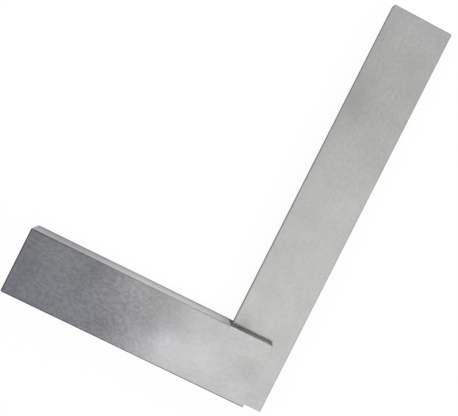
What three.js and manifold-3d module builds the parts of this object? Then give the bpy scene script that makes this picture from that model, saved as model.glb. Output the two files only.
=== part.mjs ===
// Engineer's try square, 150 x 100 mm: a ground steel stock, a thin blade let into a slot in the
// stock's end at ninety degrees, and three dowel pins ground flush with the stock's cheeks.
//
// Millimetres. The square lies on the side of its stock: +X runs along the stock towards the
// blade's outer edge, +Y along the blade to its tip, +Z up through the thickness. The origin is on
// the surface that it lies on, under the middle of the square's bounding box.

import * as THREE from 'three';
import { mergeVertices } from 'three/addons/utils/BufferGeometryUtils.js';
import Module from 'manifold-3d';

// Driving dimensions.
const BLADE_LENGTH = 150;      // from the stock's outer face to the tip
const SQUARE_WIDTH = 100;      // from the blade's outer edge to the stock's far end
const BLADE_WIDTH = 23;
const BLADE_THICKNESS = 3;
const STOCK_HEIGHT = 24;       // from the stock's outer face to its inner face
const STOCK_THICKNESS = 13;
const STOCK_SETBACK = 7.4;     // the stock's end stops this far short of the blade's outer edge
const STOCK_EDGE_BREAK = 0.3;  // 45 degree chamfer round the stock
const BLADE_EDGE_BREAK = 0.2;  // 45 degree chamfer round the blade
const TIP_RADIUS = 0.8;        // rounded corners of the blade's tip
const RELIEF_DEPTH = 0.1;      // the stock's inner face steps down by this much at the joint
const RELIEF_LEAD = 1.25;      // the step begins this far before the blade's inner edge
const PIN_DIAMETER = 4;
const PIN_COLUMN_GAP = 6.4;    // along the stock, from the two inner pins to the outer one
const PIN_ROW_GAP = 12;        // along the blade, between the two inner pins
const PIN_WALL = 4.5;          // from the blade's inner edge to the centres of the inner pins
const PIN_DROP = 10.5;         // from the stock's inner face to the centre of the outer pin

const PIN_SIDES = 32;
const CORNER_STEPS = 6;        // facets in each rounded corner of the tip
const OVERCUT = 1;             // a cutter runs this far past the faces it cuts through

// Places that follow from them.
const bladeOuter = SQUARE_WIDTH / 2;
const bladeInner = bladeOuter - BLADE_WIDTH;
const stockFarEnd = -SQUARE_WIDTH / 2;
const stockNearEnd = bladeOuter - STOCK_SETBACK;
const outerFace = -BLADE_LENGTH / 2;
const innerFace = outerFace + STOCK_HEIGHT;
const tip = BLADE_LENGTH / 2;
const slotFloor = (STOCK_THICKNESS - BLADE_THICKNESS) / 2;
const slotRoof = slotFloor + BLADE_THICKNESS;

const wasm = await Module();
wasm.setup();

// A closed three.js geometry as a manifold-3d solid.
function solidOf(geometry) {
  const bare = geometry.clone();
  bare.deleteAttribute('normal');
  bare.deleteAttribute('uv');
  const merged = mergeVertices(bare);
  return new wasm.Manifold(new wasm.Mesh({
    numProp: 3,
    vertProperties: new Float32Array(merged.attributes.position.array),
    triVerts: new Uint32Array(merged.index.array),
  }));
}

// A manifold-3d solid as a three.js geometry.
function geometryOf(solid) {
  const mesh = solid.getMesh();
  const geometry = new THREE.BufferGeometry();
  geometry.setAttribute('position', new THREE.BufferAttribute(mesh.vertProperties, 3));
  geometry.setIndex(new THREE.BufferAttribute(mesh.triVerts, 1));
  geometry.computeVertexNormals();
  return geometry;
}

// A flat outline raised from one height to another, with all its edges chamfered inwards.
function chamferedPlate(outline, low, high, edgeBreak, curveSegments = 1) {
  const plate = new THREE.ExtrudeGeometry(outline, {
    depth: high - low - 2 * edgeBreak,
    bevelEnabled: true,
    bevelThickness: edgeBreak,
    bevelSize: edgeBreak,
    bevelOffset: -edgeBreak,
    bevelSegments: 1,
    curveSegments,
  });
  return plate.translate(0, 0, low + edgeBreak);
}

// A box between two corners, for cutting.
function cutter(low, high) {
  const size = high.map((value, axis) => value - low[axis]);
  const centre = high.map((value, axis) => (value + low[axis]) / 2);
  return solidOf(new THREE.BoxGeometry(...size).translate(...centre));
}

// The centres of the pins: two by the blade's inner edge, one nearer the stock's end.
function pinSpots() {
  const column = bladeInner + PIN_WALL;
  const row = innerFace - PIN_DROP;
  return [
    [column, row + PIN_ROW_GAP / 2],
    [column, row - PIN_ROW_GAP / 2],
    [column + PIN_COLUMN_GAP, row],
  ];
}

// A pin's shape, upright round its own middle.
function pinGeometry() {
  const radius = PIN_DIAMETER / 2;
  const pin = new THREE.CylinderGeometry(radius, radius, STOCK_THICKNESS, PIN_SIDES);
  return pin.rotateX(Math.PI / 2);
}

// The holes that the pins leave in whatever they go through.
function drilled(solid) {
  let result = solid;
  for (const [x, y] of pinSpots()) {
    result = result.subtract(solidOf(pinGeometry().translate(x, y, STOCK_THICKNESS / 2)));
  }
  return result;
}

function stockOutline() {
  const cut = STOCK_EDGE_BREAK;
  return new THREE.Shape([
    new THREE.Vector2(stockFarEnd + cut, outerFace),
    new THREE.Vector2(stockNearEnd - cut, outerFace),
    new THREE.Vector2(stockNearEnd, outerFace + cut),
    new THREE.Vector2(stockNearEnd, innerFace - cut),
    new THREE.Vector2(stockNearEnd - cut, innerFace),
    new THREE.Vector2(stockFarEnd + cut, innerFace),
    new THREE.Vector2(stockFarEnd, innerFace - cut),
    new THREE.Vector2(stockFarEnd, outerFace + cut),
  ]);
}

function stockGeometry() {
  const bar = solidOf(chamferedPlate(stockOutline(), 0, STOCK_THICKNESS, STOCK_EDGE_BREAK));
  const slot = cutter(
    [bladeInner, outerFace - OVERCUT, slotFloor],
    [stockNearEnd + OVERCUT, innerFace + OVERCUT, slotRoof],
  );
  const relief = cutter(
    [bladeInner - RELIEF_LEAD, innerFace - RELIEF_DEPTH, -OVERCUT],
    [stockNearEnd + OVERCUT, innerFace + OVERCUT, STOCK_THICKNESS + OVERCUT],
  );
  return geometryOf(drilled(bar.subtract(slot).subtract(relief)));
}

function bladeOutline() {
  const outline = new THREE.Shape();
  const quarter = Math.PI / 2;
  outline.moveTo(bladeInner, outerFace);
  outline.lineTo(bladeOuter, outerFace);
  outline.lineTo(bladeOuter, tip - TIP_RADIUS);
  outline.absarc(bladeOuter - TIP_RADIUS, tip - TIP_RADIUS, TIP_RADIUS, 0, quarter);
  outline.absarc(bladeInner + TIP_RADIUS, tip - TIP_RADIUS, TIP_RADIUS, quarter, 2 * quarter);
  outline.lineTo(bladeInner, outerFace);
  return outline;
}

function bladeGeometry() {
  const plate = chamferedPlate(bladeOutline(), slotFloor, slotRoof, BLADE_EDGE_BREAK, CORNER_STEPS);
  return geometryOf(drilled(solidOf(plate)));
}

function steel(colour, roughness) {
  return new THREE.MeshStandardMaterial({ color: colour, roughness, metalness: 1 });
}

function namedMesh(name, geometry, material) {
  const mesh = new THREE.Mesh(geometry, material);
  mesh.name = name;
  return mesh;
}

const square = new THREE.Group();
square.add(namedMesh('stock', stockGeometry(), steel(0xa6a8ab, 0.45)));
square.add(namedMesh('blade', bladeGeometry(), steel(0xbababa, 0.42)));

const pins = new THREE.Group();
pins.position.z = STOCK_THICKNESS / 2;
pinSpots().forEach(([x, y], index) => {
  const pin = namedMesh(`dowel_pin_${index + 1}`, pinGeometry(), steel(0xacacac, 0.45));
  pin.position.set(x, y, 0);
  pins.add(pin);
});
square.add(pins);

export default square;
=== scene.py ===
import math

import bmesh
import bpy
from mathutils import Matrix, Vector


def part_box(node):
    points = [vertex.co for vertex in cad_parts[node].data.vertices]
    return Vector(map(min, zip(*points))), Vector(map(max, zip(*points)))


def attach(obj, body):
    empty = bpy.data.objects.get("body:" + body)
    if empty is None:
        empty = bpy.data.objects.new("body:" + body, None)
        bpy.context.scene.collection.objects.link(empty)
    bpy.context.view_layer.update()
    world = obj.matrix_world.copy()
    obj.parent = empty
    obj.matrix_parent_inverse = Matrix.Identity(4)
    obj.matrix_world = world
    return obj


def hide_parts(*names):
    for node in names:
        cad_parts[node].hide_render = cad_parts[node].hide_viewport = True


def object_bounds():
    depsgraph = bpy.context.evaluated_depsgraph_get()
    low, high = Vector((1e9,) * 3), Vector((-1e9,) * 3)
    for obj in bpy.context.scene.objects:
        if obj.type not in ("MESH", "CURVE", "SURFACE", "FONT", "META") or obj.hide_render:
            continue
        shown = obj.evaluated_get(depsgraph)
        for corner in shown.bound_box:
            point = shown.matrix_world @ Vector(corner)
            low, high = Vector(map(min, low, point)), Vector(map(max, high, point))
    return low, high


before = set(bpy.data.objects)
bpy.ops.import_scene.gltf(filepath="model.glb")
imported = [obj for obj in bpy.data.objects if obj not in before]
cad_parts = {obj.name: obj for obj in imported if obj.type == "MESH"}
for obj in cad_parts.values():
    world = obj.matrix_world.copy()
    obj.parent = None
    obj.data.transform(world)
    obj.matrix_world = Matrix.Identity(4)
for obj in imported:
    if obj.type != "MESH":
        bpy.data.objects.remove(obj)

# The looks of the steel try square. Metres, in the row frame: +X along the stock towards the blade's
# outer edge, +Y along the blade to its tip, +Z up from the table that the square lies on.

MM = 0.001
ALONG_X = 0
ALONG_Y = 1
# The steel's two hues, which its colour drifts between.
WARM = (1.0, 1.0, 0.97)
COOL = (0.985, 0.988, 1.012)

cad_low, cad_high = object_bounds()
stock_low, stock_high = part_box("stock")
blade_low, blade_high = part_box("blade")
pin_nodes = sorted(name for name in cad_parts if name.startswith("dowel_pin"))

# The step down at the joint, on the stock's inner face.
RELIEF_DEPTH = 0.1 * MM
RELIEF_LEAD = 1.25 * MM
relief_start = blade_low.x - RELIEF_LEAD
relief_floor = stock_high.y - RELIEF_DEPTH
# Edge breaks: on most of the stock's edges, on its finer ones at the joint and ends, on the blade's
# edges and on the pins'.
STOCK_CHAMFER = 0.4 * MM
FINE_CHAMFER = 0.05 * MM
BLADE_CHAMFER = 0.16 * MM
PIN_CHAMFER = 0.02 * MM
# How much wider the holes are than the pins, in radius.
PIN_CLEARANCE = 0.005 * MM
PIN_SEGMENTS = 64
# The rounded corners of the blade's tip.
TIP_RADIUS = 0.6 * MM
TIP_STEPS = 8
# A cutter runs this far past the faces that it cuts through.
OVERCUT = 1.0 * MM
# Points closer than this are one point.
WELD = 0.001 * MM

# Places in each piece's list of materials. SCALE, BLADE_SIDE, RELIEF and FENCE_BREAK hold steel darkened
# by painted shade, and FENCE holds steel with painted light and shade.
GROUND = 0       # broad faces, ends and the blade's outer side face
SCALE = 1        # edge breaks
FENCE = 2        # the stock's inner and outer faces
BLADE_SIDE = 2   # the blade's inner side face
RELIEF = 3       # the step at the joint and the slot's walls
FENCE_BREAK = 4  # the edge breaks beside the stock's inner face

# A face whose unit normal reaches this far along an axis faces that way.
FACING = 0.9
# One that reaches this far leans that way.
LEANING = 0.5
# One that stays below this along every axis is slanted.
SLANTED_BELOW = 0.8


# ---------------------------------------------------------------- shader nodes

def new_material(name):
    material = bpy.data.materials.new(name)
    material.use_nodes = True
    tree = material.node_tree
    tree.nodes.clear()
    output = tree.nodes.new("ShaderNodeOutputMaterial")
    shader = tree.nodes.new("ShaderNodeBsdfPrincipled")
    tree.links.new(shader.outputs["BSDF"], output.inputs["Surface"])
    return material, tree, shader


def noise(tree, scale, detail, roughness=0.5, turn=0.0):
    """3-D noise over the row frame. scale is cycles per metre along X, Y and Z, turned about Z."""
    place = tree.nodes.new("ShaderNodeTexCoord")
    turned = tree.nodes.new("ShaderNodeVectorRotate")
    turned.rotation_type = "Z_AXIS"
    turned.inputs["Angle"].default_value = turn
    mapping = tree.nodes.new("ShaderNodeMapping")
    mapping.inputs["Scale"].default_value = scale
    texture = tree.nodes.new("ShaderNodeTexNoise")
    texture.inputs["Scale"].default_value = 1.0
    texture.inputs["Detail"].default_value = detail
    texture.inputs["Roughness"].default_value = roughness
    tree.links.new(place.outputs["Object"], turned.inputs["Vector"])
    tree.links.new(turned.outputs["Vector"], mapping.inputs["Vector"])
    tree.links.new(mapping.outputs["Vector"], texture.inputs["Vector"])
    return texture.outputs["Fac"]


def remap(tree, value, low, high, out_low, out_high):
    """value from low..high, clamped and spread smoothly over out_low..out_high."""
    node = tree.nodes.new("ShaderNodeMapRange")
    node.interpolation_type = "SMOOTHSTEP"
    sockets = ("From Min", "From Max", "To Min", "To Max")
    for socket, number in zip(sockets, (low, high, out_low, out_high)):
        node.inputs[socket].default_value = number
    tree.links.new(value, node.inputs["Value"])
    return node.outputs["Result"]


def arithmetic(tree, operation, *values):
    node = tree.nodes.new("ShaderNodeMath")
    node.operation = operation
    for socket, value in zip(node.inputs, values):
        if isinstance(value, (int, float)):
            socket.default_value = value
        else:
            tree.links.new(value, socket)
    return node.outputs["Value"]


def product(tree, *values):
    result = values[0]
    for value in values[1:]:
        result = arithmetic(tree, "MULTIPLY", result, value)
    return result


def soft_patch(tree, centre, radii, change):
    """A factor that is 1 + change at a place on the square, fading to 1 over the radii along X, Y and Z."""
    place = tree.nodes.new("ShaderNodeTexCoord")
    away = tree.nodes.new("ShaderNodeVectorMath")
    away.operation = "SUBTRACT"
    away.inputs[1].default_value = centre
    shrunk = tree.nodes.new("ShaderNodeVectorMath")
    shrunk.operation = "DIVIDE"
    shrunk.inputs[1].default_value = radii
    length = tree.nodes.new("ShaderNodeVectorMath")
    length.operation = "LENGTH"
    tree.links.new(place.outputs["Object"], away.inputs[0])
    tree.links.new(away.outputs["Vector"], shrunk.inputs[0])
    tree.links.new(shrunk.outputs["Vector"], length.inputs[0])
    return remap(tree, length.outputs["Value"], 0.0, 1.0, 1.0 + change, 1.0)


def soft_box(tree, low, high, fade, change):
    """A factor that is 1 + change in the box between two corners, fading to 1 at a distance of fade."""
    place = tree.nodes.new("ShaderNodeTexCoord")
    below = tree.nodes.new("ShaderNodeVectorMath")
    below.operation = "SUBTRACT"
    below.inputs[0].default_value = low
    above = tree.nodes.new("ShaderNodeVectorMath")
    above.operation = "SUBTRACT"
    above.inputs[1].default_value = high
    beyond = tree.nodes.new("ShaderNodeVectorMath")
    beyond.operation = "MAXIMUM"
    outside = tree.nodes.new("ShaderNodeVectorMath")
    outside.operation = "MAXIMUM"
    distance = tree.nodes.new("ShaderNodeVectorMath")
    distance.operation = "LENGTH"
    tree.links.new(place.outputs["Object"], below.inputs[1])
    tree.links.new(place.outputs["Object"], above.inputs[0])
    tree.links.new(below.outputs["Vector"], beyond.inputs[0])
    tree.links.new(above.outputs["Vector"], beyond.inputs[1])
    tree.links.new(beyond.outputs["Vector"], outside.inputs[0])
    tree.links.new(outside.outputs["Vector"], distance.inputs[0])
    return remap(tree, distance.outputs["Value"], 0.0, fade, 1.0 + change, 1.0)


def bump(tree, height, depth, normal=None):
    """Raises the surface by height times depth, in metres, over another bump if one is given."""
    node = tree.nodes.new("ShaderNodeBump")
    node.inputs["Strength"].default_value = 1.0
    node.inputs["Distance"].default_value = depth
    tree.links.new(height, node.inputs["Height"])
    if normal is not None:
        tree.links.new(normal, node.inputs["Normal"])
    return node.outputs["Normal"]


def tinted(tree, shade, hue):
    """A grey shade as a colour: WARM where hue is 0, COOL where it is 1."""
    tint = tree.nodes.new("ShaderNodeMix")
    tint.data_type = "RGBA"
    tint.inputs["A"].default_value = (*WARM, 1.0)
    tint.inputs["B"].default_value = (*COOL, 1.0)
    tree.links.new(hue, tint.inputs["Factor"])
    scaled = tree.nodes.new("ShaderNodeVectorMath")
    scaled.operation = "SCALE"
    tree.links.new(tint.outputs["Result"], scaled.inputs["Vector"])
    tree.links.new(shade, scaled.inputs["Scale"])
    return scaled.outputs["Vector"]


def ramp_along(tree, axis, start, end, first, last):
    """first up to start on one axis of the row frame, last from end onwards, and smooth between."""
    place = tree.nodes.new("ShaderNodeTexCoord")
    split = tree.nodes.new("ShaderNodeSeparateXYZ")
    tree.links.new(place.outputs["Object"], split.inputs["Vector"])
    return remap(tree, split.outputs[axis], start, end, first, last)


# ---------------------------------------------------------------- materials

# Noise scales are in cycles per metre, across the grinding lines and along them where they differ.
# A RANGE is the part of a noise's values that a tone is spread over, and a TONE is how far it goes
# from 1 either way.
NOISE_RANGE = (0.3, 0.7)
# Surface-ground steel.
LINES_ACROSS = 7000.0
LINES_ALONG = 120.0
LINES_TONE = 0.04
LINES_DEPTH = 0.004 * MM
MOTTLE_ACROSS = 1100.0
MOTTLE_DEPTH = 0.03 * MM
STAINS_SCALE = 110.0
STAINS_RANGE = (0.35, 0.65)
STAINS_TONE = 0.025
HUE_SCALE = 45.0
HUE_RANGE = (0.4, 0.6)
SCRATCHES_ACROSS = 5200.0
SCRATCHES_ALONG = 45.0
SCRATCHES_TURN = math.radians(7.0)
SCRATCHES_RANGE = (0.70, 0.74)
SCRATCHES_TONE = 0.06
ROUGHNESS_SPREAD = 0.03
# The specked skin of the dark steel, whose darkness is painted shade. Where it is worn it is paler.
SPECKS_SCALE = 2500.0
SPECKS_TONE = 0.15
SPECKS_DEPTH = 0.012 * MM
WORN_SCALE = 160.0
WORN_RANGE = (0.35, 0.7)
WORN_TONES = (0.9, 1.15)


def stretched(along, fine, coarse):
    """Noise scales that are coarse along one axis and fine across it."""
    scale = [fine, fine, fine]
    scale[along] = coarse
    return scale


def even(scale):
    """The same noise scale along all three axes."""
    return scale, scale, scale


def around(middle, spread):
    return middle - spread, middle + spread


def ground_steel(name, along, shade, roughness, grain=700.0, contrast=0.055,
                 hues=(0.2, 0.8), cooling=(), patches=(), boxes=(), ramps=()):
    """Surface-ground steel: grinding lines along one axis, a mottled satin skin, faint stains and
    a few scratches.
    grain is the skin's scale along the lines, in cycles per metre, and contrast how far it changes
    the tone.
    hues is the range that its hue drifts over, with WARM at 0 and COOL at 1, and each ramp in
    cooling adds to it.
    patches, boxes and ramps are what soft_patch, soft_box and ramp_along take, for places that
    differ in tone."""
    material, tree, shader = new_material(name)
    lines = noise(tree, stretched(along, LINES_ACROSS, LINES_ALONG), 3.0, 0.7)
    mottle = noise(tree, stretched(along, MOTTLE_ACROSS, grain), 3.0, 0.6)
    stains = noise(tree, even(STAINS_SCALE), 4.0, 0.6)
    hue = noise(tree, even(HUE_SCALE), 3.0, 0.6)
    scratches = noise(tree, stretched(along, SCRATCHES_ACROSS, SCRATCHES_ALONG), 1.0, 0.5, SCRATCHES_TURN)
    scratched = remap(tree, scratches, *SCRATCHES_RANGE, 0.0, 1.0)

    tone = product(
        tree,
        remap(tree, lines, *NOISE_RANGE, *around(1.0, LINES_TONE)),
        remap(tree, mottle, *NOISE_RANGE, *around(1.0, contrast)),
        remap(tree, stains, *STAINS_RANGE, *around(1.0, STAINS_TONE)),
        arithmetic(tree, "MULTIPLY_ADD", scratched, SCRATCHES_TONE, 1.0),
        *[soft_patch(tree, *patch) for patch in patches],
        *[soft_box(tree, *box) for box in boxes],
        *[ramp_along(tree, *ramp) for ramp in ramps],
        shade,
    )
    hue = remap(tree, hue, *HUE_RANGE, *hues)
    for ramp in cooling:
        hue = arithmetic(tree, "ADD", hue, ramp_along(tree, *ramp))
    colour = tinted(tree, tone, hue)
    tree.links.new(colour, shader.inputs["Base Color"])
    rough = remap(tree, mottle, *NOISE_RANGE, *around(roughness, ROUGHNESS_SPREAD))
    tree.links.new(rough, shader.inputs["Roughness"])
    relief = bump(tree, mottle, MOTTLE_DEPTH)
    relief = bump(tree, lines, LINES_DEPTH, relief)
    tree.links.new(relief, shader.inputs["Normal"])
    shader.inputs["Metallic"].default_value = 1.0
    return material


def painted_dark_steel(name, shade, roughness, ramps=()):
    """Dark steel with a specked skin, paler where worn, for the edge breaks, the step at the joint and the
    slot's walls. Its darkness is painted shade, for the shadow and dark surroundings that these faces
    reflect.
    ramps are what ramp_along takes, for ends that differ in painted shade."""
    material, tree, shader = new_material(name)
    specks = noise(tree, even(SPECKS_SCALE), 4.0, 0.7)
    worn = noise(tree, even(WORN_SCALE), 3.0, 0.6)
    tone = product(
        tree,
        remap(tree, specks, *NOISE_RANGE, *around(1.0, SPECKS_TONE)),
        remap(tree, worn, *WORN_RANGE, *WORN_TONES),
        *[ramp_along(tree, *ramp) for ramp in ramps],
        shade,
    )
    tree.links.new(tinted(tree, tone, worn), shader.inputs["Base Color"])
    tree.links.new(bump(tree, specks, SPECKS_DEPTH), shader.inputs["Normal"])
    shader.inputs["Roughness"].default_value = roughness
    shader.inputs["Metallic"].default_value = 1.0
    return material


# ---------------------------------------------------------------- mesh code

def mesh_object(name, bm):
    mesh = bpy.data.meshes.new(name)
    bm.to_mesh(mesh)
    bm.free()
    obj = bpy.data.objects.new(name, mesh)
    bpy.context.scene.collection.objects.link(obj)
    return obj


def loft(rings):
    """A closed skin through rings of points, with a cap on the first ring and on the last.
    Slanted faces, such as the edge breaks, get the dark steel of painted shade and the others ground steel."""
    bm = bmesh.new()
    rings = [[bm.verts.new(point) for point in ring] for ring in rings]
    for near, far in zip(rings, rings[1:]):
        for index in range(len(near)):
            after = (index + 1) % len(near)
            bm.faces.new((near[index], near[after], far[after], far[index]))
    bm.faces.new(rings[0])
    bm.faces.new(rings[-1])
    bmesh.ops.remove_doubles(bm, verts=bm.verts, dist=WELD)
    bmesh.ops.recalc_face_normals(bm, faces=bm.faces)
    for face in bm.faces:
        slanted = max(abs(part) for part in face.normal) < SLANTED_BELOW
        face.material_index = SCALE if slanted else GROUND
    return bm


def stock_section(x, inner_y, outer_break, inner_break, inset_y=0.0, inset_z=0.0):
    """The stock's outline across its length at x, with a break on its two outer and two inner edges,
    drawn in by inset_y and inset_z. The points at seam_y let the step at the joint meet the broad
    faces edge to edge."""
    low_y = stock_low.y + inset_y
    seam_y = stock_high.y - STOCK_CHAMFER - inset_y
    high_y = inner_y - inset_y
    low_z = stock_low.z + inset_z
    high_z = stock_high.z - inset_z
    return [
        (x, low_y + outer_break, low_z),
        (x, seam_y, low_z),
        (x, high_y - inner_break, low_z),
        (x, high_y, low_z + inner_break),
        (x, high_y, high_z - inner_break),
        (x, high_y - inner_break, high_z),
        (x, seam_y, high_z),
        (x, low_y + outer_break, high_z),
        (x, low_y, high_z - outer_break),
        (x, low_y, low_z + outer_break),
    ]


def stock_piece():
    """The bar, stepped down at the joint, cut by the blade's slot and drilled for the pins."""
    fence_breaks = (STOCK_CHAMFER, STOCK_CHAMFER)
    joint_breaks = (STOCK_CHAMFER, FINE_CHAMFER)
    bm = loft([
        stock_section(stock_low.x, stock_high.y, *fence_breaks, FINE_CHAMFER, STOCK_CHAMFER),
        stock_section(stock_low.x + STOCK_CHAMFER, stock_high.y, *fence_breaks),
        stock_section(relief_start, stock_high.y, *fence_breaks),
        stock_section(relief_start, relief_floor, *joint_breaks),
        stock_section(stock_high.x - FINE_CHAMFER, relief_floor, *joint_breaks),
        stock_section(stock_high.x, relief_floor, *joint_breaks, FINE_CHAMFER, FINE_CHAMFER),
    ])
    for face in bm.faces:
        centre = face.calc_center_median()
        if face.normal.y > FACING:
            face.material_index = RELIEF if centre.x > relief_start else FENCE
        elif face.normal.y < -FACING:
            face.material_index = FENCE
        elif face.normal.y > LEANING:
            face.material_index = FENCE_BREAK
    stock = mesh_object("try_square_stock", bm)
    slot_low = Vector((blade_low.x, stock_low.y - OVERCUT, blade_low.z))
    slot_high = Vector((stock_high.x + OVERCUT, stock_high.y + OVERCUT, blade_high.z))
    cut(stock, block(slot_low, slot_high))
    drill(stock)
    return stock


def blade_outline(z, inset=0.0):
    """The blade seen from above, at height z, with its two rounded corners at the tip."""
    low = blade_low + Vector((inset, inset, 0.0))
    high = blade_high - Vector((inset, inset, 0.0))
    radius = TIP_RADIUS - inset
    quarter = math.pi / 2
    points = [(low.x, low.y, z), (high.x, low.y, z)]
    for centre_x, start in ((high.x - radius, 0.0), (low.x + radius, quarter)):
        for step in range(TIP_STEPS + 1):
            angle = start + quarter * step / TIP_STEPS
            x = centre_x + radius * math.cos(angle)
            y = high.y - radius + radius * math.sin(angle)
            points.append((x, y, z))
    return points


def blade_piece():
    """The flat blade with rounded corners at its tip, drilled for the pins."""
    bm = loft([
        blade_outline(blade_low.z, inset=BLADE_CHAMFER),
        blade_outline(blade_low.z + BLADE_CHAMFER),
        blade_outline(blade_high.z - BLADE_CHAMFER),
        blade_outline(blade_high.z, inset=BLADE_CHAMFER),
    ])
    for face in bm.faces:
        if face.normal.x < -FACING:
            face.material_index = BLADE_SIDE
    blade = mesh_object("try_square_blade", bm)
    drill(blade)
    return blade


def round_section(centre, radius, z):
    """A circle of points at height z."""
    turn = 2 * math.pi / PIN_SEGMENTS
    return [
        (centre.x + radius * math.cos(turn * step), centre.y + radius * math.sin(turn * step), z)
        for step in range(PIN_SEGMENTS)
    ]


def pin_piece(node):
    """A dowel pin with a hair of an edge break at each end."""
    low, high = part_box(node)
    centre = (low + high) / 2
    radius = (high.x - low.x) / 2
    bm = loft([
        round_section(centre, radius - PIN_CHAMFER, low.z),
        round_section(centre, radius, low.z + PIN_CHAMFER),
        round_section(centre, radius, high.z - PIN_CHAMFER),
        round_section(centre, radius - PIN_CHAMFER, high.z),
    ])
    return mesh_object(f"{node}_ground", bm)


def block(low, high):
    """A box between two corners, for cutting. The walls that it leaves are darkened with painted shade, as
    at the step.
    """
    bm = loft([
        [(x, low.y, low.z), (x, high.y, low.z), (x, high.y, high.z), (x, low.y, high.z)]
        for x in (low.x, high.x)
    ])
    for face in bm.faces:
        face.material_index = RELIEF
    return mesh_object("block", bm)


def cut(obj, cutter):
    """Cuts one shape out of another, and discards the cutter."""
    modifier = obj.modifiers.new("cut", "BOOLEAN")
    modifier.operation = "DIFFERENCE"
    modifier.solver = "EXACT"
    modifier.object = cutter
    with bpy.context.temp_override(object=obj, active_object=obj):
        bpy.ops.object.modifier_apply(modifier=modifier.name)
    bpy.data.objects.remove(cutter)


def drill(obj):
    """Cuts the holes that the pins fill."""
    for node in pin_nodes:
        low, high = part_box(node)
        centre = (low + high) / 2
        radius = (high.x - low.x) / 2 + PIN_CLEARANCE
        ends = (low.z - OVERCUT, high.z + OVERCUT)
        cut(obj, mesh_object("drill_bit", loft([round_section(centre, radius, z) for z in ends])))


def finish_piece(obj, materials, node):
    """Gives a piece its materials, and puts it in the place of its CAD node."""
    for material in materials:
        obj.data.materials.append(material)
    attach(obj, "root")
    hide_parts(node)


# ---------------------------------------------------------------- the square

# The tone of the ground steel, and how rough it is, on each piece and on its narrow faces. The narrow
# faces' tones
# are painted light and shade: the stock's inner and outer faces are lighter, and the blade's inner side
# face much darker.
STOCK_SHADE = 0.625
STOCK_ROUGHNESS = 0.22
STOCK_GRAIN = 640.0
STOCK_CONTRAST = 0.068
FENCE_SHADE = 0.79
BLADE_SHADE = 0.575
BLADE_ROUGHNESS = 0.24
BLADE_SIDE_PAINTED_SHADE = 0.23
NARROW_FACE_ROUGHNESS = 0.3
# The tone of the dark steel, whose darkness is painted shade, and how rough it is: on edge breaks, and in
# the joint and slot. By the stock's inner face the breaks are as pale as the joint.
BREAK_SHADE = 0.22
BREAK_ROUGHNESS = 0.4
JOINT_SHADE = 0.345
JOINT_ROUGHNESS = 0.5


def on_stock(x, y):
    """A place on the stock's upper face, from millimetres."""
    return x * MM, y * MM, stock_high.z


def on_blade(x, y):
    """A place on the blade's upper face, from millimetres."""
    return x * MM, y * MM, blade_high.z


def round_patch(radius):
    """The radii of a round patch, from millimetres."""
    return radius * MM, radius * MM, radius * MM


# One darker patch lies across the joint, on the stock and on the blade's foot.
joint_dark_patch = (on_stock(38.0, -62.5), (9.0 * MM, 7.5 * MM, 30.0 * MM), -0.11)
# Faint darker and lighter patches on the stock's ground faces, which run on over the pins' ends.
stock_patches = [
    joint_dark_patch,
    (on_stock(19.0, -66.0), round_patch(12.0), 0.14),
    (on_stock(7.0, -70.5), round_patch(14.0), 0.15),
    (on_stock(8.5, -65.5), round_patch(6.0), 0.12),
    (on_stock(-1.0, -63.0), round_patch(7.0), -0.14),
    (on_stock(3.0, -55.0), round_patch(12.0), -0.14),
    (on_stock(-11.0, -53.5), round_patch(9.0), 0.13),
    (on_stock(-24.0, -54.0), round_patch(6.0), -0.1),
    (on_stock(-42.0, -55.0), round_patch(6.0), 0.05),
    (on_stock(-14.0, -71.0), round_patch(11.0), -0.13),
    (on_stock(-27.0, -61.5), round_patch(6.0), -0.1),
]
# A painted highlight along the stock's upper face, at its edge by the joint.
painted_edge_highlight = (on_stock(26.3, -51.55), on_stock(38.5, -51.1), 0.3 * MM, 0.07)
# Darker and lighter patches on the blade. The smallest, near its inner edge just clear of the stock, are a
# painted sheen and painted shade.
blade_patches = [
    (on_blade(28.0, 38.0), round_patch(16.0), -0.13),
    (on_blade(46.0, 5.0), round_patch(20.0), 0.05),
    (on_blade(37.0, 68.0), round_patch(11.0), 0.06),
    # A painted sheen by the inner edge, then painted shade closer to the stock.
    (on_blade(28.0, -40.0), round_patch(7.0), 0.08),
    (on_blade(30.5, -47.0), round_patch(4.0), -0.06),
    (on_blade(30.6, -49.2), (4.5 * MM, 2.6 * MM, 5.0 * MM), -0.15),
    joint_dark_patch,
    (on_blade(46.0, -66.0), round_patch(15.0), 0.02),
]
# Painted shade darkens the blade in the corner where it enters the slot, and painted light brightens it a
# little beside the stock's end.
slot_mouth_painted_shade = (on_blade(27.0, -51.5), on_blade(42.5, -50.55), 0.5 * MM, -0.5)
beside_stock_end_painted_light = (on_blade(42.6, -75.0), on_blade(43.8, -52.5), 1.2 * MM, 0.03)
# The steel is a little cooler towards the stock's outer face and at the blade's foot and tip.
stock_cooling = [("Y", stock_low.y + 4 * MM, stock_low.y + 20 * MM, 0.5, 0.0)]
blade_cooling = [
    ("Y", blade_low.y + 4 * MM, blade_low.y + 24 * MM, 1.5, 0.0),
    ("Y", blade_high.y - 11 * MM, blade_high.y, 0.0, 1.0),
]


def broad_face_steel(name, boxes=(), ramps=()):
    """The ground steel of the stock's broad faces, which the pins' ends are ground flush with."""
    return ground_steel(
        name, ALONG_X, STOCK_SHADE, STOCK_ROUGHNESS, STOCK_GRAIN, STOCK_CONTRAST,
        cooling=stock_cooling, patches=stock_patches, boxes=boxes, ramps=ramps,
    )


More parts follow.
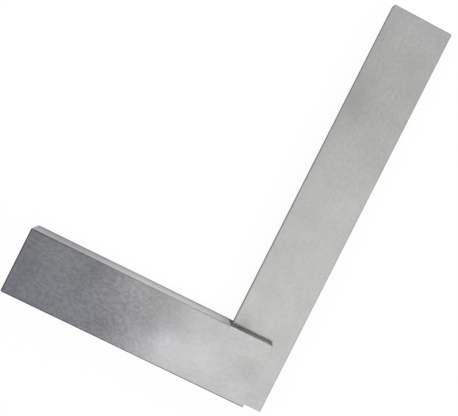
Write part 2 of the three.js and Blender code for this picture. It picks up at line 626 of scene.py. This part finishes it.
# Each list follows the order of GROUND, SCALE, FENCE or BLADE_SIDE, RELIEF and FENCE_BREAK.
stock_materials = [
    broad_face_steel("stock_ground_steel", boxes=[painted_edge_highlight], ramps=[
        # Painted shade darkens the broad faces towards the stock's far end. They are also a touch darker at
        # its joint end.
        ("X", stock_low.x, stock_low.x + 14 * MM, 0.87, 1.0),
        ("X", stock_high.x - 8 * MM, stock_high.x, 1.0, 0.985),
    ]),
    painted_dark_steel("stock_edge_painted_shade", BREAK_SHADE, BREAK_ROUGHNESS, ramps=[
        # Painted shade: the edge breaks are much darker towards the far end and a little lighter past the
        # middle.
        ("X", stock_low.x, 5 * MM, 0.06, 1.2),
    ]),
    ground_steel("stock_fence_steel", ALONG_X, FENCE_SHADE, NARROW_FACE_ROUGHNESS, hues=(0.9, 1.1), ramps=[
        # Painted light and shade on the stock's inner and outer faces: darker towards the far end and
        # lighter towards the joint, darker low and lighter high, and a painted shadow along the foot by the
        # table.
        ("X", stock_low.x + 10 * MM, -6.0 * MM, 0.75, 1.13),
        ("X", 17 * MM, relief_start, 1.0, 1.16),
        ("Z", stock_low.z, stock_high.z, 0.9, 1.08),
        ("Z", stock_low.z + 0.5 * MM, stock_low.z + 3 * MM, 0.1, 1.0),
    ]),
    painted_dark_steel("relief_painted_shade", JOINT_SHADE, JOINT_ROUGHNESS, ramps=[
        # Painted shade, darkest in the corner by the blade's inner edge, paler towards the stock's end and
        # dark again just at it.
        ("X", relief_start, relief_start + 14 * MM, 0.85, 1.65),
        ("X", stock_high.x - 1.5 * MM, stock_high.x, 1.0, 0.5),
    ]),
    painted_dark_steel("fence_edge_painted_shade", JOINT_SHADE, BREAK_ROUGHNESS, ramps=[
        # Painted shade: darker towards the far end, lighter towards the joint.
        ("X", stock_low.x, 25 * MM, 0.5, 1.85),
    ]),
]
blade_materials = [
    ground_steel(
        "blade_ground_steel", ALONG_Y, BLADE_SHADE, BLADE_ROUGHNESS, hues=(0.0, 0.4),
        cooling=blade_cooling, patches=blade_patches, boxes=[slot_mouth_painted_shade, beside_stock_end_painted_light],
        # Painted light: the blade is a little lighter at its foot, fading out towards the middle.
        ramps=[("Y", stock_high.y, 0.0, 1.04, 1.0)],
    ),
    painted_dark_steel("blade_edge_painted_shade", BREAK_SHADE, BREAK_ROUGHNESS, ramps=[
        # Painted light and shade on the blade's edge breaks: lighter at the foot and along the inner edge,
        # darker at the tip and along the outer edge.
        ("Y", blade_low.y + BLADE_CHAMFER, blade_low.y + 2 * MM, 1.8, 1.0),
        ("Y", blade_high.y - 2 * MM, blade_high.y - BLADE_CHAMFER, 1.0, 0.05),
        ("X", blade_low.x + BLADE_CHAMFER, blade_low.x + 1 * MM, 2.6, 1.0),
        ("X", blade_high.x - 1 * MM, blade_high.x - BLADE_CHAMFER, 1.0, 0.3),
    ]),
    # The blade's inner side face is painted dark, as shade.
    ground_steel("blade_edge_steel", ALONG_Y, BLADE_SIDE_PAINTED_SHADE, NARROW_FACE_ROUGHNESS),
]
# The pins are ground all over, so their edge breaks are the same steel.
pin_materials = [broad_face_steel("pin_ground_steel")] * 2

finish_piece(stock_piece(), stock_materials, "stock")
finish_piece(blade_piece(), blade_materials, "blade")
for node in pin_nodes:
    finish_piece(pin_piece(node), pin_materials, node)


# ---------------------------------------------------------------- table, light and camera

TABLE_RADIUS = 3.0
TABLE_SEGMENTS = 96
# How far the table top lies below the square.
TABLE_GAP = 0.02 * MM
# The table's own colour as the steel sees it and as the camera does, and the glow that the camera sees.
TABLE_ALBEDO = 0.9
TABLE_SHADOW = 0.1
TABLE_GLOW = 0.935
ROOM_COLOUR = (0.94, 0.96, 1.08)
ROOM_STRENGTH = 0.288
SOFTBOX_COLOUR = (1.0, 0.995, 0.98)
SOFTBOX_STRENGTH = 0.95
# How strongly one half of a softbox glows, next to the other half.
OVERHEAD_FADE = 0.76
SIDE_FADE = 1.5
# The overhead softbox hangs off to one side, and faces straight down.
OVERHEAD_X = 0.41
OVERHEAD_Y = 0.1
SENSOR_WIDTH = 36.0
LENS = 56.3
CLIP_START = 0.01
# Where the camera is and where it looks, from the middle of the square, its height above the table
# and how far it is turned.
CAMERA_X = -11.6 * MM
CAMERA_Y = -10.1 * MM
CAMERA_HEIGHT = 258.4 * MM
AIM_X = 7.35 * MM
AIM_Y = -14.97 * MM
CAMERA_TURN = math.radians(26.82)


def table_top(radius):
    """A white table. The camera alone sees it mostly by a glow of its own, which keeps it a plain pale
    ground with only the faintest shadow. The steel sees it as it is lit."""
    bm = bmesh.new()
    bmesh.ops.create_circle(bm, cap_ends=True, radius=radius, segments=TABLE_SEGMENTS)
    table = mesh_object("table_top", bm)
    table.location.z = cad_low.z - TABLE_GAP
    material, tree, shader = new_material("table_white")
    rays = tree.nodes.new("ShaderNodeLightPath")
    seen = rays.outputs["Is Camera Ray"]
    tree.links.new(remap(tree, seen, 0.0, 1.0, TABLE_ALBEDO, TABLE_SHADOW), shader.inputs["Base Color"])
    tree.links.new(product(tree, seen, TABLE_GLOW), shader.inputs["Emission Strength"])
    shader.inputs["Emission Color"].default_value = (1.0, 1.0, 1.0, 1.0)
    shader.inputs["Specular IOR Level"].default_value = 0.0
    shader.inputs["Roughness"].default_value = 1.0
    table.data.materials.append(material)


def studio_world(colour, strength):
    """A dim room for the light and the reflections, and plain white behind the table."""
    world = bpy.data.worlds.new("studio")
    bpy.context.scene.world = world
    world.use_nodes = True
    tree = world.node_tree
    tree.nodes.clear()
    output = tree.nodes.new("ShaderNodeOutputWorld")
    room = tree.nodes.new("ShaderNodeBackground")
    room.inputs["Color"].default_value = (*colour, 1.0)
    room.inputs["Strength"].default_value = strength
    backdrop = tree.nodes.new("ShaderNodeBackground")
    backdrop.inputs["Color"].default_value = (1.0, 1.0, 1.0, 1.0)
    rays = tree.nodes.new("ShaderNodeLightPath")
    mix = tree.nodes.new("ShaderNodeMixShader")
    tree.links.new(rays.outputs["Is Camera Ray"], mix.inputs["Fac"])
    tree.links.new(room.outputs["Background"], mix.inputs[1])
    tree.links.new(backdrop.outputs["Background"], mix.inputs[2])
    tree.links.new(mix.outputs["Shader"], output.inputs["Surface"])


def softbox(name, place, width, height, fade, aim=(0.0, 0.0, 0.0)):
    """A glowing panel that faces aim, seen by the steel and not by the camera. One half of it glows
    at SOFTBOX_STRENGTH and the other at fade times that, with a soft change across its middle."""
    bm = bmesh.new()
    bmesh.ops.create_grid(bm, x_segments=1, y_segments=1, size=0.5)
    bmesh.ops.scale(bm, verts=bm.verts, vec=(width, height, 1.0))
    panel = mesh_object(name, bm)
    direction = Vector(aim) - Vector(place)
    turn = direction.to_track_quat("-Z", "Y").to_matrix()
    panel.matrix_world = Matrix.Translation(place) @ turn.to_4x4()
    panel.visible_camera = False
    material = bpy.data.materials.new(name)
    material.use_nodes = True
    tree = material.node_tree
    tree.nodes.clear()
    output = tree.nodes.new("ShaderNodeOutputMaterial")
    glow = tree.nodes.new("ShaderNodeEmission")
    local = tree.nodes.new("ShaderNodeTexCoord")
    split = tree.nodes.new("ShaderNodeSeparateXYZ")
    tree.links.new(local.outputs["Object"], split.inputs["Vector"])
    soft_middle = height / 8
    strengths = (SOFTBOX_STRENGTH, SOFTBOX_STRENGTH * fade)
    level = remap(tree, split.outputs["Y"], *around(0.0, soft_middle), *strengths)
    glow.inputs["Color"].default_value = (*SOFTBOX_COLOUR, 1.0)
    tree.links.new(level, glow.inputs["Strength"])
    tree.links.new(glow.outputs["Emission"], output.inputs["Surface"])
    panel.data.materials.append(material)


def camera():
    """Nearly straight above, turned so that the square lies across the picture."""
    data = bpy.data.cameras.new("camera")
    data.sensor_width = SENSOR_WIDTH
    data.lens = LENS
    data.clip_start = CLIP_START
    obj = bpy.data.objects.new("camera", data)
    bpy.context.scene.collection.objects.link(obj)
    centre = (cad_low + cad_high) / 2
    place = Vector((centre.x + CAMERA_X, centre.y + CAMERA_Y, CAMERA_HEIGHT))
    aim = Vector((centre.x + AIM_X, centre.y + AIM_Y, centre.z))
    forward = (aim - place).normalized()
    picture_up = Vector((-math.sin(CAMERA_TURN), math.cos(CAMERA_TURN), 0.0))
    right = forward.cross(picture_up).normalized()
    up = right.cross(forward)
    axes = Matrix((right, up, -forward)).transposed()
    obj.matrix_world = Matrix.Translation(place) @ axes.to_4x4()
    bpy.context.scene.camera = obj


bpy.context.scene.view_settings.view_transform = "Standard"
table_top(TABLE_RADIUS)
studio_world(ROOM_COLOUR, ROOM_STRENGTH)
softbox("overhead_softbox", (OVERHEAD_X, OVERHEAD_Y, 0.8), 0.76, 1.2, OVERHEAD_FADE,
        aim=(OVERHEAD_X, OVERHEAD_Y, 0.0))
softbox("left_softbox", (-1.2, 0.0, 0.9), 1.2, 1.8, SIDE_FADE)
softbox("back_softbox", (0.0, 1.3, 0.9), 1.8, 1.2, SIDE_FADE)
softbox("right_softbox", (1.3, 0.0, 0.8), 1.2, 1.8, SIDE_FADE)
camera()
